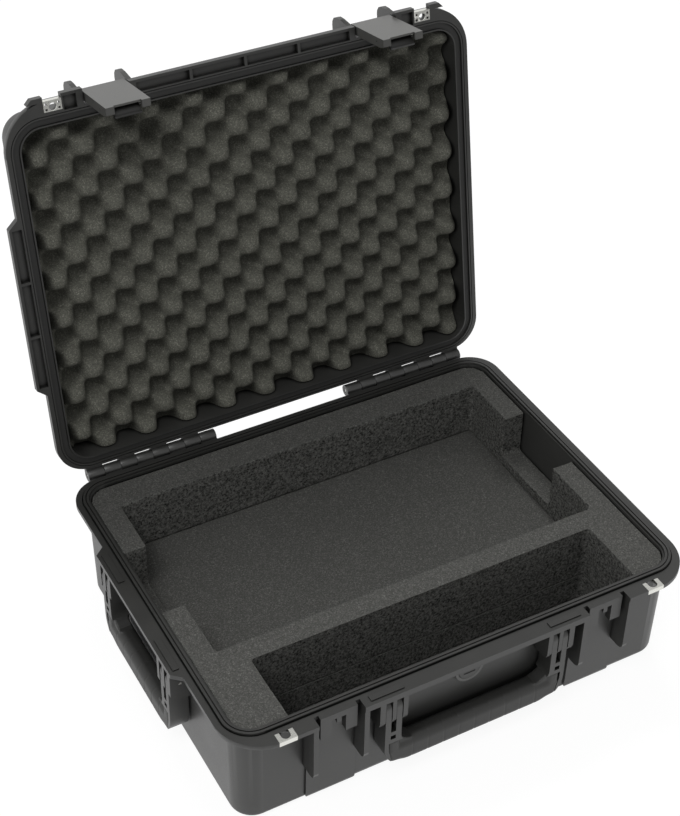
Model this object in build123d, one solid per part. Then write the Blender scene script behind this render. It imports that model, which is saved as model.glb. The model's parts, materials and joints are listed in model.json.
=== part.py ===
from build123d import *
from math import ceil, radians, tan
import os

os.makedirs("parts", exist_ok=True)

# ------------------------------------------------------------------ shell sizes (mm)
RIM_Z = 148.5            # height of the base parting face above the bottom
LID_GAP = 0.3            # between the two parting faces when shut
LID_HEIGHT = 68.0        # parting face of the lid to its top
WALL = 4.3               # moulded wall
FLOOR = 5.0              # base floor
DRAFT = 0.97             # mould draft of every outer wall, degrees
CAVITY_X = 282.0         # half width of the inside at the rim
CAVITY_Y = 214.5         # half depth of the inside at the rim
CAVITY_R = 26.0          # corner radius of the inside
BOTTOM_ROUND = 9.0       # outer edge round at the bottom
LID_ROUND = 12.0         # outer edge round at the lid top
INNER_BEVEL = 6.0        # bevel where an inside wall meets its floor
LID_RIM_Z = RIM_Z + LID_GAP
LID_TOP_Z = LID_RIM_Z + LID_HEIGHT
WALL_X = CAVITY_X + WALL
WALL_Y = CAVITY_Y + WALL
WALL_R = CAVITY_R + WALL

# ------------------------------------------------------------------ rim flange
FLANGE_X = WALL_X + 13.7  # half width over the flange
PADLOCK_X = FLANGE_X - 62.0  # centre of each padlock plate
FLANGE_REAR_Y = WALL_Y + 11.2
FLANGE_REAR_R = 40.0
BLOCK_Y = WALL_Y + 25.2  # corner blocks that carry the padlock plates
BLOCK_R = 56.0
GUARD_Y = BLOCK_Y + 5.0  # lid blocks stand proud of the base on each side of the plates
GUARD_END = PADLOCK_X + 24.0
SHELF_Y = BLOCK_Y        # shelf over the front handle
BAY_Y = WALL_Y + 11.2    # flange cut back in the latch bays
FLANGE_T = 4.0
LIP_T = 3.5
LIP_H = 8.5              # lid and front shelf
BASE_LIP_H = 6.0
SIDE_ARM = 73.4          # side handle: inner face of each arm from the handle middle
ARM_W = 20.6             # width of every handle arm
BULGE_X = WALL_X + 25.2  # side shelf over the side handle
BULGE_Y = SIDE_ARM + ARM_W + 10.5
BULGE_RUN = 36.0         # along the wall, from the bulge's full width to its root
BULGE_ROOT = 30.0        # depth of the root inside the flange edge
SPLIT_Y = CAVITY_Y - 64.5  # behind this line the flange has its rear outline
RIDGE_IN = 2.3           # tongue, measured outwards from the cavity edge
RIDGE_OUT = 9.3
RIDGE_H = 2.5
GROOVE_W = 1.5
POCKET_FRONT_Y = SHELF_Y - LIP_T
POCKET_BACK_Y = CAVITY_Y + 14.5
POCKET_SIDE_X = BULGE_X - LIP_T
POCKET_SIDE_BACK_X = CAVITY_X + 14.6
RIB_HALF = 1.8           # half the rib between two lid pockets
PAD_H = 1.2
PAD_W = 7.6
PAD_PLAY = 1.5           # from a pad to its pocket wall
PAD_START_Y = SIDE_ARM - 23.4

FIELD_INSET = 55.0       # shallow sunk field on the lid top, crossed by two wide ribs
FIELD_R = 22.0
FIELD_DEPTH = 1.4
FIELD_RIB_X = 124.0
FIELD_RIB_W = 28.0

# ------------------------------------------------------------------ latch bays
BAY_X = PADLOCK_X - 64.5  # centre of each latch bay
BAY_HALF = 28.0          # half the clear width between its fins
FIN_T = 6.2
FIN_FRONT_Y = BLOCK_Y - 1.0
FIN_BOTTOM_Z = RIM_Z - 86.5
FIN_TOE = 9.0            # rounded lower front corner
PANEL_PROUD = 2.5
STRIKE_FRONT_Y = BLOCK_Y - 8.0
STRIKE_BACK_Y = BLOCK_Y - 17.0
STRIKE_BOTTOM_Z = RIM_Z - 33.5
STRIKE_HALF = 22.5
STRIKE_SLOT = 8.5
EAR_FRONT_Y = SHELF_Y + 4.0  # fins of the lid stand a little prouder
EAR_TOP_Z = RIM_Z + 47.5

SHELF_POCKET_END = BAY_X - BAY_HALF - FIN_T

# ------------------------------------------------------------------ hinge
HINGE_Y = FLANGE_REAR_Y + 9.5
HINGE_Z = RIM_Z + LID_GAP / 2
KNUCKLE_R = 7.5
HINGE_PIN_R = 2.5
RUNNING = 0.08           # radial running clearance on every turning pin
KNUCKLES = 8
HINGE_X0 = FLANGE_X - 205.0
KNUCKLE_PITCH = 21.7
KNUCKLE_GAP = 0.5
LID_OPEN = 100.0

# ------------------------------------------------------------------ handles
PIVOT_Z = RIM_Z - 23.5
ARM_DEPTH = 23.6
ARM_R = ARM_DEPTH / 2
FRONT_PIVOT = SHELF_Y - 13.0  # distance of the pivot line from the case centre
SIDE_PIVOT = BULGE_X - 12.6
FRONT_ARM = BAY_X - 75.3  # inner face of each arm from the handle middle
PAD_START_X = FRONT_ARM - 3.2
PRONG_GAP = 0.7
PRONG_INNER = 6.0
PRONG_MID = 5.0
PRONG_OUTER = 7.0
PRONG_BOTTOM_Z = PIVOT_Z - 25.0
TINE_ROOT_Z = PIVOT_Z - 37.0
WINDOW_Z0 = PIVOT_Z - 49.0
WINDOW_Z1 = WINDOW_Z0 + 6.0
SEAM_Z = PIVOT_Z - 55.0
GRIP_TOP_Z = SEAM_Z - 8.0
HANDLE_BOTTOM_Z = GRIP_TOP_Z - 35.0
HOLE_R = 17.0            # lower corners of the hand hole
RAIL_T = 5.2             # outer rail of the frame that runs down beside the grip
CORE_T = 11.0            # bar inside the rubber
CORE_H = 14.0
HANDLE_PIN_R = 2.0

# ------------------------------------------------------------------ latches
LATCH_SIDE_GAP = 1.5     # from the cover to the fins
LATCH_HALF = BAY_HALF - LATCH_SIDE_GAP
LATCH_T = 2.5
LATCH_WALL = 3.0
LATCH_OUT_Y = BLOCK_Y
LATCH_TOP_Z = RIM_Z + 13.5
LATCH_END_Z = RIM_Z - 65.0
LATCH_BACK_Y = LATCH_OUT_Y - 11.4
LATCH_PIVOT_Y = LATCH_OUT_Y - 7.0
LATCH_PIVOT_Z = LATCH_TOP_Z - 5.0
LATCH_PIN_R = 2.0
LATCH_END_T = 3.5        # post under the plate, each side of the end window
LATCH_NOSE = 2.5         # bevel of the side walls at the free end
TRIGGER_Y = LATCH_OUT_Y - 5.6
TRIGGER_Z = LATCH_END_Z + 16.5
TRIGGER_PIN_R = 1.25
TRIGGER_BARREL_R = 2.6
TRIGGER_T = 2.4
TRIGGER_REACH = 15.0     # back of the finger lip behind the face of the cover
SPRING_LEN = 6.4
SPRING_R = 2.6
SPRING_GAP = 0.6
TRIGGER_HALF = LATCH_HALF - LATCH_WALL - SPRING_LEN - 2 * SPRING_GAP
WINDOW_GAP = 0.5
HOOK_W = 6.0
HOOK_T = 1.6
HOOK_BACK_Y = STRIKE_FRONT_Y + 0.4
HOOK_TOP_Z = STRIKE_BOTTOM_Z - 0.7

# ------------------------------------------------------------------ foam
FOAM_GAP = 0.4
FOAM_FLOOR_Z = 28.0      # floor of the accessory trough
FOAM_RISER_Z = FOAM_FLOOR_Z + 40.0  # floor of the floor-unit cavity
FOAM_TOP_Z = RIM_Z - 3.0
TROUGH_Y1 = 92.0 - CAVITY_Y
CAVITY_UNIT_X = CAVITY_X - 30.5
CAVITY_UNIT_Y0 = TROUGH_Y1 + 29.0
CAVITY_UNIT_Y1 = CAVITY_Y - 41.0
NOTCH_Y1 = CAVITY_UNIT_Y1 - 78.5
NOTCH_Y0 = NOTCH_Y1 - 107.0
NOTCH_FLOOR_Z = FOAM_RISER_Z + 16.0
TROUGH_X0 = 60.0 - CAVITY_X
TROUGH_X1 = CAVITY_X - 53.0
PEAK_PITCH_X = 55.6
PEAK_PITCH_Y = 51.5
PEAK_SHIFT_X = -9.3      # where the sheet happened to be cut from its roll
PEAK_SHIFT_Y = 4.6
PEAK_VALLEY = 1.6        # flat left between two peaks that meet at a corner
PEAK_LEAN = 8.0          # degrees
PEAK_CUT = 6.0           # how far past the sheet's edge a peak may be centred and still be cut
LID_FOAM_GAP = 1.6
LID_FOAM_SLAB = 26.0
LID_FOAM_HEIGHT = LID_HEIGHT - 12.0

# ------------------------------------------------------------------ padlock plates, valve
PADLOCK_Y = 7.8 - BLOCK_Y
PADLOCK_R = 4.5
BASE_HOLE_R = 5.4        # the base hole is wider and open to the back
PLATE_HALF = 10.8
PLATE_T = 1.6
PLATE_INNER_Y = 13.0 - BLOCK_Y
PLATE_LIP = 6.5
PLATE_WINDOW_X = 7.6
PLATE_WINDOW_HALF = 1.5
VALVE_Z = RIM_Z - 33.5
VALVE_R = 18.5
VALVE_T = 5.0


# ------------------------------------------------------------------ helpers
def box(x0, x1, y0, y1, z0, z1):
    """A box given by its limits."""
    return Pos((x0 + x1) / 2, (y0 + y1) / 2, (z0 + z1) / 2) * Box(
        abs(x1 - x0), abs(y1 - y0), abs(z1 - z0)
    )


def rod_x(x0, x1, y, z, radius):
    """A round bar along X."""
    return Pos((x0 + x1) / 2, y, z) * Rot(0, 90, 0) * Cylinder(radius, abs(x1 - x0))


def profile_x(points, x0, x1):
    """An outline in Y and Z, drawn out along X."""
    face = make_face(Polyline([(0, y, z) for y, z in points], close=True))
    return Pos(min(x0, x1), 0, 0) * extrude(face, abs(x1 - x0), dir=(1, 0, 0))


def plate(half_x, half_y, radius, z0, z1, taper=0.0):
    """A rounded rectangle with upright or drafted sides."""
    sketch = Pos(0, 0, z0) * RectangleRounded(2 * half_x, 2 * half_y, radius)
    return extrude(sketch, z1 - z0, taper=taper)


def ring(inset_in, inset_out, z0, z1):
    """A band that follows the cavity edge, measured outwards from it."""
    outer = plate(CAVITY_X + inset_out, CAVITY_Y + inset_out, CAVITY_R + inset_out, z0, z1)
    inner = plate(CAVITY_X + inset_in, CAVITY_Y + inset_in, CAVITY_R + inset_in, z0 - 1, z1 + 1)
    return outer - inner


def draft_run(height):
    """How far a drafted wall leans over a height."""
    return height * tan(radians(DRAFT))


def edges_at_z(part, z):
    """The edges that lie wholly at one height."""
    return [
        e for e in part.edges()
        if abs(e.bounding_box().min.Z - z) < 0.01 and abs(e.bounding_box().max.Z - z) < 0.01
    ]


def opened(part):
    """Swing a lid piece from shut to open."""
    return part.rotate(Axis((0, HINGE_Y, HINGE_Z), (1, 0, 0)), -LID_OPEN)


def save(part, name):
    solids = part.solids()
    shape = solids[0] if len(solids) == 1 else Compound(children=list(solids))
    shape.label = name
    export_step(shape, f"parts/{name}.step")


# ------------------------------------------------------------------ flange outline
def flange_plan(inset):
    """Outline shared by both halves: rear corners, front blocks, shelf, bays, side bulge."""
    width = 2 * (FLANGE_X - inset)
    span = 2 * width
    rear = RectangleRounded(width, 2 * (FLANGE_REAR_Y - inset), FLANGE_REAR_R - inset)
    rear = rear & (Pos(0, span / 2 - SPLIT_Y) * Rectangle(span, span))
    front = RectangleRounded(width, 2 * (BLOCK_Y - inset), BLOCK_R - inset)
    front = front & (Pos(0, -span / 2 - SPLIT_Y + 0.01) * Rectangle(span, span))
    plan = rear + front
    depth = 2 * (BLOCK_Y - BAY_Y)
    shelf_half = BAY_X - BAY_HALF
    plan -= Pos(0, -SHELF_Y + inset - depth / 2) * Rectangle(2 * shelf_half + 2 * inset, depth)
    for side in (-1, 1):
        bay = Rectangle(2 * (BAY_HALF + inset), depth)
        plan -= Pos(side * BAY_X, -BAY_Y + inset - depth / 2) * bay
    edge = BULGE_X - inset
    bulge = Polyline(
        (-FLANGE_X + BULGE_ROOT, -BULGE_Y - BULGE_RUN),
        (-edge, -BULGE_Y),
        (-edge, BULGE_Y),
        (-FLANGE_X + BULGE_ROOT, BULGE_Y + BULGE_RUN),
        close=True,
    )
    return plan + make_face(bulge)


def flange_slab(inset, z0, z1):
    return extrude(Pos(0, 0, z0) * flange_plan(inset), z1 - z0)


def padlock_holes(part, radius):
    for side in (-1, 1):
        part -= Pos(side * PADLOCK_X, PADLOCK_Y, RIM_Z) * Cylinder(radius + 0.4, 40)
    return part


def plate_seats(part, z0, z1, lip_z0, lip_z1):
    """Recesses that let the stainless plates lie flush with the parting face."""
    for side in (-1, 1):
        x = side * PADLOCK_X
        part -= box(x - PLATE_HALF, x + PLATE_HALF, -BLOCK_Y - 1, PLATE_INNER_Y, z0, z1)
        part -= box(
            x - PLATE_HALF, x + PLATE_HALF, -BLOCK_Y - 1, -BLOCK_Y + PLATE_T, lip_z0, lip_z1
        )
    return part


# ------------------------------------------------------------------ base shell
def base_fin(x0):
    """Upright fin beside a latch bay: square top, rounded toe."""
    wall = -WALL_Y + 1.5
    fin = profile_x(
        [
            (wall, RIM_Z - 1),
            (-FIN_FRONT_Y, RIM_Z - 1),
            (-FIN_FRONT_Y, FIN_BOTTOM_Z + FIN_TOE),
            (-FIN_FRONT_Y + 0.13 * FIN_TOE, FIN_BOTTOM_Z + 0.5 * FIN_TOE),
            (-FIN_FRONT_Y + 0.5 * FIN_TOE, FIN_BOTTOM_Z + 0.13 * FIN_TOE),
            (-FIN_FRONT_Y + FIN_TOE, FIN_BOTTOM_Z),
            (wall, FIN_BOTTOM_Z),
        ],
        x0,
        x0 + FIN_T,
    )
    return fin


def strike(side):
    """The two blocks, slot and centre tooth the latch hooks under."""
    x = side * BAY_X
    part = box(
        x - STRIKE_HALF, x + STRIKE_HALF, -STRIKE_FRONT_Y, -STRIKE_BACK_Y,
        STRIKE_BOTTOM_Z, RIM_Z,
    )
    part -= box(
        x - STRIKE_SLOT, x + STRIKE_SLOT, -STRIKE_FRONT_Y - 1, -STRIKE_BACK_Y + 1,
        STRIKE_BOTTOM_Z - 1, RIM_Z - LIP_H,
    )
    tooth = profile_x(
        [
            (-STRIKE_FRONT_Y, RIM_Z - 2),
            (-STRIKE_FRONT_Y, RIM_Z - 16),
            (-STRIKE_BACK_Y, RIM_Z - 12),
            (-STRIKE_BACK_Y, RIM_Z - 2),
        ],
        x - 2.8,
        x + 2.8,
    )
    webs = []
    for end in (-1, 1):
        edge = x + end * (STRIKE_HALF - 2)
        webs.append(
            box(edge - 2, edge + 2, -STRIKE_BACK_Y - 1, -WALL_Y, STRIKE_BOTTOM_Z, RIM_Z - 1)
        )
    return part + tooth + webs


def prong_profile(x0, x1):
    """One bracket prong: full depth of the shelf, with a rounded lower front corner."""
    front = -FRONT_PIVOT - ARM_R - 0.6
    wall = -WALL_Y + 1.5
    return profile_x(
        [
            (wall, RIM_Z - 2),
            (front, RIM_Z - 2),
            (front, PRONG_BOTTOM_Z + 9),
            (front + 2.5, PRONG_BOTTOM_Z + 3),
            (front + 8, PRONG_BOTTOM_Z),
            (wall, PRONG_BOTTOM_Z),
        ],
        x0,
        x1,
    )


def prong_spans(arm):
    """Inner, middle and outer prong along one arm, measured from the handle middle."""
    mid = arm + ARM_W / 2
    return [
        (arm - PRONG_GAP - PRONG_INNER, arm - PRONG_GAP),
        (mid - PRONG_MID / 2, mid + PRONG_MID / 2),
        (arm + ARM_W + PRONG_GAP, arm + ARM_W + PRONG_GAP + PRONG_OUTER),
    ]


def bracket_set(arm):
    """All six prongs of one handle, built at the front wall, bored for the pins."""
    prongs = []
    for a, b in prong_spans(arm):
        prongs.append(prong_profile(a, b))
        prongs.append(prong_profile(-b, -a))
    bracket = Part() + prongs
    reach = arm + ARM_W + 20
    return bracket - rod_x(-reach, reach, -FRONT_PIVOT, PIVOT_Z, HANDLE_PIN_R)


def to_side(part):
    """Carry something built at the front wall round to the left wall."""
    turned = part.rotate(Axis.Z, -90)
    return Pos(FRONT_PIVOT - SIDE_PIVOT, 0, 0) * turned


def knuckle_spans(owner):
    """X limits of the hinge knuckles: the base has the innermost, the lid the outermost."""
    spans = []
    for i in range(KNUCKLES):
        is_base = i % 2 == 0
        if is_base == (owner == "base"):
            x0 = HINGE_X0 + i * KNUCKLE_PITCH
            spans.append((x0, x0 + KNUCKLE_PITCH - KNUCKLE_GAP))
    return spans


def knuckles(owner):
    """Hinge barrels with the arms that join them to the flange."""
    up = 1 if owner == "lid" else -1
    face = LID_RIM_Z if owner == "lid" else RIM_Z
    bore = HINGE_PIN_R + (RUNNING if owner == "lid" else 0.0)
    parts = []
    for a, b in knuckle_spans(owner):
        for side in (-1, 1):
            x0, x1 = sorted((side * a, side * b))
            far = HINGE_Z + up * KNUCKLE_R
            barrel = rod_x(x0, x1, HINGE_Y, HINGE_Z, KNUCKLE_R)
            barrel += box(x0, x1, FLANGE_REAR_Y - 1, HINGE_Y, min(face, far), max(face, far))
            parts.append(barrel - rod_x(x0 - 1, x1 + 1, HINGE_Y, HINGE_Z, bore))
    return parts


def base_shell():
    low_x = WALL_X - draft_run(RIM_Z)
    low_y = WALL_Y - draft_run(RIM_Z)
    body = plate(low_x, low_y, WALL_R - draft_run(RIM_Z), 0, RIM_Z, taper=-DRAFT)
    panels = []
    for side in (-1, 1):
        inner = BAY_X - BAY_HALF - FIN_T / 2
        outer = BAY_X + BAY_HALF + FIN_T / 2
        x0, x1 = sorted((side * inner, side * outer))
        panels.append(
            profile_x(
                [
                    (-low_y + 4, 0),
                    (-low_y - PANEL_PROUD, 0),
                    (-low_y - PANEL_PROUD - draft_run(RIM_Z), RIM_Z - 2),
                    (-low_y + 4, RIM_Z - 2),
                ],
                x0,
                x1,
            )
        )
    body += panels
    body = fillet(edges_at_z(body, 0), BOTTOM_ROUND)
    body += flange_slab(0, RIM_Z - FLANGE_T, RIM_Z)
    lip = flange_slab(0, RIM_Z - BASE_LIP_H, RIM_Z)
    body += lip - flange_slab(LIP_T, RIM_Z - BASE_LIP_H - 1, RIM_Z + 1)
    shelf_half = BAY_X - BAY_HALF
    body += box(-shelf_half, shelf_half, -SHELF_Y, -SHELF_Y + LIP_T, RIM_Z - LIP_H, RIM_Z - 1)
    for side in (-1, 1):
        for x in (BAY_X - BAY_HALF - FIN_T, BAY_X + BAY_HALF):
            x0, x1 = sorted((side * x, side * (x + FIN_T)))
            body += base_fin(x0)
        body += strike(side)
    body += bracket_set(FRONT_ARM)
    body += to_side(bracket_set(SIDE_ARM))
    body += knuckles("base")
    body += ring(RIDGE_IN, RIDGE_OUT, RIM_Z - 1, RIM_Z + RIDGE_H)
    mid = (RIDGE_IN + RIDGE_OUT) / 2
    body -= ring(mid - 0.7, mid + 0.7, RIM_Z + RIDGE_H - 1.2, RIM_Z + RIDGE_H + 1)
    body -= ring(RIDGE_OUT, RIDGE_OUT + GROOVE_W, RIM_Z - 1.6, RIM_Z + 1)
    body += register_pads()
    low = draft_run(RIM_Z - FLOOR)
    hollow = plate(
        CAVITY_X - low, CAVITY_Y - low, CAVITY_R - low, FLOOR, RIM_Z + 20, taper=-DRAFT
    )
    hollow = chamfer(edges_at_z(hollow, FLOOR), INNER_BEVEL)
    body -= hollow
    body -= Pos(0, -WALL_Y, VALVE_Z) * Rot(90, 0, 0) * Cylinder(9.0, 30)
    body = padlock_holes(body, BASE_HOLE_R)
    body = plate_seats(body, RIM_Z - PLATE_T, RIM_Z + 1, RIM_Z - PLATE_LIP, RIM_Z + 1)
    return body


def register_pads():
    """Low pads on the shelf and on the side bulge that find the lid pockets."""
    pads = []
    front = POCKET_FRONT_Y - PAD_PLAY
    edge = POCKET_SIDE_X - PAD_PLAY
    for side in (-1, 1):
        x0, x1 = sorted((side * PAD_START_X, side * (SHELF_POCKET_END - RIB_HALF - PAD_PLAY)))
        pads.append(box(x0, x1, -front, -front + PAD_W, RIM_Z - 1, RIM_Z + PAD_H))
        y0, y1 = sorted((side * PAD_START_Y, side * (BULGE_Y - RIB_HALF - PAD_PLAY)))
        pads.append(box(-edge, -edge + PAD_W, y0, y1, RIM_Z - 1, RIM_Z + PAD_H))
    return pads


# ------------------------------------------------------------------ lid shell
def lid_ear(x0):
    """Fin beside a latch on the lid: leans out to a rounded tip and carries the latch pin."""
    wall = -WALL_Y + 1.5
    return profile_x(
        [
            (wall, LID_RIM_Z),
            (-SHELF_Y + 1, LID_RIM_Z),
            (-SHELF_Y, LATCH_PIVOT_Z),
            (-EAR_FRONT_Y + 0.5, EAR_TOP_Z - 21),
            (-EAR_FRONT_Y, EAR_TOP_Z - 12),
            (-EAR_FRONT_Y + 2, EAR_TOP_Z - 5),
            (-EAR_FRONT_Y + 7, EAR_TOP_Z - 1),
            (-EAR_FRONT_Y + 12, EAR_TOP_Z),
            (wall, EAR_TOP_Z),
        ],
        x0,
        x0 + FIN_T,
    )


def lid_pockets():
    """Open pockets under the lid flange, with the ribs left between them."""
    z0 = LID_RIM_Z - 1
    z1 = LID_RIM_Z + 5.5
    cuts = []
    half = SHELF_POCKET_END / 2
    limits = [-SHELF_POCKET_END, -half, 0.0, half, SHELF_POCKET_END]
    for a, b in zip(limits, limits[1:]):
        cuts.append(box(a + RIB_HALF, b - RIB_HALF, -POCKET_FRONT_Y, -POCKET_BACK_Y, z0, z1))
    block = BAY_X + BAY_HALF + FIN_T
    front = GUARD_Y - LIP_T
    for side in (-1, 1):
        x0, x1 = sorted((side * (block + RIB_HALF), side * (PADLOCK_X - PLATE_HALF - 2)))
        cuts.append(box(x0, x1, -front, -POCKET_BACK_Y, z0, z1))
    third = BULGE_Y / 3
    ribs = [-BULGE_Y, -third, third, BULGE_Y]
    for a, b in zip(ribs, ribs[1:]):
        cuts.append(box(-POCKET_SIDE_X, -POCKET_SIDE_BACK_X, a + RIB_HALF, b - RIB_HALF, z0, z1))
    return cuts


def lid_guards():
    """Raised ends of the lid blocks; the padlock plate lies between them."""
    guards = []
    back = -BLOCK_Y + 1
    slope = GUARD_Y - BLOCK_Y + 1
    for side in (-1, 1):
        x0, x1 = sorted((side * (BAY_X + BAY_HALF), side * (PADLOCK_X - PLATE_HALF)))
        guards.append(box(x0, x1, -GUARD_Y, back, LID_RIM_Z, LID_RIM_Z + LIP_H))
        plan = Polyline(
            (side * (PADLOCK_X + PLATE_HALF), back),
            (side * (PADLOCK_X + PLATE_HALF), -GUARD_Y),
            (side * GUARD_END, -GUARD_Y),
            (side * (GUARD_END + slope), back),
            close=True,
        )
        guards.append(extrude(Pos(0, 0, LID_RIM_Z) * make_face(plan), LIP_H, dir=(0, 0, 1)))
    return guards


def lid_shell():
    body = plate(WALL_X, WALL_Y, WALL_R, LID_RIM_Z, LID_TOP_Z, taper=DRAFT)
    body = fillet(edges_at_z(body, LID_TOP_Z), LID_ROUND)
    field = plate(
        WALL_X - FIELD_INSET, WALL_Y - FIELD_INSET, FIELD_R, LID_TOP_Z - FIELD_DEPTH, LID_TOP_Z + 1
    )
    for side in (-1, 1):
        x0, x1 = sorted((side * (FIELD_RIB_X - FIELD_RIB_W), side * FIELD_RIB_X))
        field -= box(x0, x1, -WALL_Y, WALL_Y, LID_TOP_Z - WALL, LID_TOP_Z + WALL)
    body -= field
    body += flange_slab(0, LID_RIM_Z, LID_RIM_Z + LIP_H)
    body += lid_guards()
    for side in (-1, 1):
        for x in (BAY_X - BAY_HALF - FIN_T, BAY_X + BAY_HALF):
            x0, x1 = sorted((side * x, side * (x + FIN_T)))
            body += lid_ear(x0)
        x = side * BAY_X
        reach = BAY_HALF + 5.0
        body -= rod_x(x - reach, x + reach, -LATCH_PIVOT_Y, LATCH_PIVOT_Z, LATCH_PIN_R)
    body += knuckles("lid")
    hollow = plate(CAVITY_X, CAVITY_Y, CAVITY_R, LID_RIM_Z - 1, LID_TOP_Z - WALL, taper=DRAFT)
    hollow = chamfer(edges_at_z(hollow, LID_TOP_Z - WALL), INNER_BEVEL)
    body -= hollow
    body -= ring(RIDGE_IN - 0.6, RIDGE_OUT + 0.5, LID_RIM_Z - 1, LID_RIM_Z + 5.2)
    body -= ring(RIDGE_OUT + 2.3, RIDGE_OUT + 3.3, LID_RIM_Z - 1, LID_RIM_Z + 1.0)
    body -= lid_pockets()
    body = padlock_holes(body, PADLOCK_R)
    for side in (-1, 1):
        for end in (-1, 1):
            x = side * PADLOCK_X + end * PLATE_WINDOW_X
            x0, x1 = x - PLATE_WINDOW_HALF - 0.4, x + PLATE_WINDOW_HALF + 0.4
            body -= box(x0, x1, -BLOCK_Y + PLATE_T, PLATE_INNER_Y - 1, LID_RIM_Z - 1, LID_RIM_Z + 20)
    body = plate_seats(
        body, LID_RIM_Z - 1, LID_RIM_Z + PLATE_T, LID_RIM_Z - 1, LID_RIM_Z + PLATE_LIP
    )
    return body


def lid_gasket():
    """Soft seal at the bottom of the lid channel."""
    return ring(RIDGE_IN - 0.2, RIDGE_OUT + 0.1, LID_RIM_Z + 2.6, LID_RIM_Z + 5.2)


# ------------------------------------------------------------------ small hardware
def padlock_plate(side, face_z, away):
    """Stainless plate let into a corner block, turned over its front edge."""
    x = side * PADLOCK_X
    radius = PADLOCK_R if away > 0 else BASE_HOLE_R
    z0, z1 = sorted((face_z, face_z + away * PLATE_T))
    part = box(x - PLATE_HALF, x + PLATE_HALF, -BLOCK_Y, PLATE_INNER_Y, z0, z1)
    s0, s1 = sorted((face_z, face_z + away * PLATE_LIP))
    part += box(x - PLATE_HALF, x + PLATE_HALF, -BLOCK_Y, -BLOCK_Y + PLATE_T, s0, s1)
    part -= Pos(x, PADLOCK_Y, face_z) * Cylinder(radius, 2 * PLATE_T + 1)
    if away < 0:
        part -= box(x - radius, x + radius, PADLOCK_Y, PADLOCK_Y + 10, z0 - 1, z1 + 1)
        return part
    row = -BLOCK_Y + PLATE_T + 2.4
    for end in (-1, 1):
        w0 = x + end * PLATE_WINDOW_X - PLATE_WINDOW_HALF
        w1 = x + end * PLATE_WINDOW_X + PLATE_WINDOW_HALF
        part -= box(w0, w1, row - 1.4, row + 1.4, z0 - 1, z1 + 1)
        part -= box(w0, w1, PLATE_INNER_Y - 4.0, PLATE_INNER_Y - 1.2, z0 - 1, z1 + 1)
    return part


def handle_pins(arm):
    a = prong_spans(arm)[0][0] + 0.4
    b = prong_spans(arm)[2][1] - 0.4
    return [rod_x(side * a, side * b, -FRONT_PIVOT, PIVOT_Z, HANDLE_PIN_R) for side in (-1, 1)]


def valve_body():
    """Threaded stem and round flange of the pressure valve on the front wall."""
    face = -WALL_Y
    disc = Pos(0, face - VALVE_T / 2, VALVE_Z) * Rot(90, 0, 0) * Cylinder(VALVE_R, VALVE_T)
    disc -= Pos(0, face - VALVE_T, VALVE_Z) * Rot(90, 0, 0) * Cylinder(VALVE_R - 4, 3.0)
    stem = Pos(0, face + 2.0, VALVE_Z) * Rot(90, 0, 0) * Cylinder(8.95, 5.0)
    return disc + stem


def valve_disc():
    face = -WALL_Y - VALVE_T + 1.5
    part = Pos(0, face - 0.9, VALVE_Z) * Rot(90, 0, 0) * Cylinder(VALVE_R - 4.3, 1.8)
    for k in range(3):
        part -= box(-7, 7, face - 3, face - 1.1, VALVE_Z - 6 + 5 * k, VALVE_Z - 4 + 5 * k)
    return part


# ------------------------------------------------------------------ handles
def handle_outline(half_x, top, bottom, corner):
    """Front view of the handle as one rounded block, standing in X and Z."""
    height = top - bottom
    face = RectangleRounded(2 * half_x, 2 * height, corner)
    face = face & (Pos(0, -height / 2) * Rectangle(2 * half_x + 2, height))
    return Pos(0, -FRONT_PIVOT + ARM_R, top) * Rot(90, 0, 0) * face


def handle_block(half_x, top, bottom, corner):
    return extrude(handle_outline(half_x, top, bottom, corner), ARM_DEPTH, dir=(0, -1, 0))


def handle_opening(arm):
    """The hand hole between the arms and above the grip."""
    tall = 2 * (PIVOT_Z + 40 - GRIP_TOP_Z)
    face = RectangleRounded(2 * arm, tall, HOLE_R)
    sketch = Pos(0, -FRONT_PIVOT + 40, GRIP_TOP_Z + tall / 2) * Rot(90, 0, 0) * face
    return extrude(sketch, 80, dir=(0, -1, 0))


def grip_core(arm):
    """Bar of the frame that the rubber is moulded round."""
    reach = arm + ARM_W - RAIL_T + 1
    y = -FRONT_PIVOT
    middle = (GRIP_TOP_Z + HANDLE_BOTTOM_Z) / 2
    half = CORE_T / 2
    bar = box(-reach, reach, y - half, y + half, middle - CORE_H / 2, middle + CORE_H / 2)
    for side in (-1, 1):
        x0, x1 = sorted((side * (arm + 5), side * (arm + 11)))
        bar += box(x0, x1, y - half, y + half, middle, SEAM_Z + 1)
    return bar


def handle_frame(arm):
    half = arm + ARM_W
    block = handle_block(half, PIVOT_Z, HANDLE_BOTTOM_Z, 22)
    block += [
        rod_x(side * arm, side * half, -FRONT_PIVOT, PIVOT_Z, ARM_R) for side in (-1, 1)
    ]
    block -= handle_opening(arm)
    near = -FRONT_PIVOT - ARM_DEPTH
    far = -FRONT_PIVOT + ARM_DEPTH
    block -= box(-half + RAIL_T, half - RAIL_T, near, far, 0, SEAM_Z)
    mid = arm + ARM_W / 2
    slot = PRONG_MID / 2 + PRONG_GAP
    for side in (-1, 1):
        x0, x1 = sorted((side * (mid - slot), side * (mid + slot)))
        block -= box(x0, x1, near, far, TINE_ROOT_Z, PIVOT_Z + ARM_DEPTH)
        block -= box(x0, x1, near, far, WINDOW_Z0, WINDOW_Z1)
    block += grip_core(arm)
    reach = half + 5
    return block - rod_x(-reach, reach, -FRONT_PIVOT, PIVOT_Z, HANDLE_PIN_R + RUNNING)


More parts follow.
